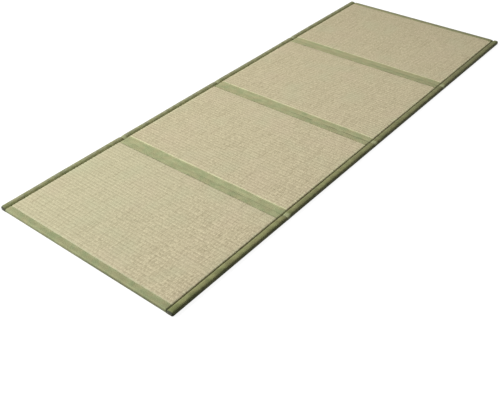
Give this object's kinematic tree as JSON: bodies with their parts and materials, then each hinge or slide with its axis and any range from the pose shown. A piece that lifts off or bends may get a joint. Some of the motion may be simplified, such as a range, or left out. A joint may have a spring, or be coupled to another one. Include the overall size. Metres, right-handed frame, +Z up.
{
  "type": "tatami mat",
  "caption": "Flat folding floor mat of padded rush-faced panels in a row, joined by cloth bands and bound all round in cloth, laid open",
  "frame": {"origin": "on the floor under the middle of the mat", "axes": "X along the mat from its near end to its far end, Y across it, Z up"},
  "size_m": [2.1, 0.82, 0.0178],
  "materials": {
    "rush": "ribbed woven rush, satin sheen",
    "band_cloth": "plain weave green cloth, matt",
    "side_cloth": "plain weave olive green cloth, matt"
  },
  "bodies": {
    "root": {"rush_panel_1": "rush", "rush_panel_2": "rush", "rush_panel_3": "rush", "rush_panel_4": "rush", "fold_band_1": "band_cloth", "fold_band_2": "band_cloth", "fold_band_3": "band_cloth", "end_binding_near": "band_cloth", "end_binding_far": "band_cloth", "side_binding_right": "side_cloth", "side_binding_left": "side_cloth"}
  },
  "joints": []
}
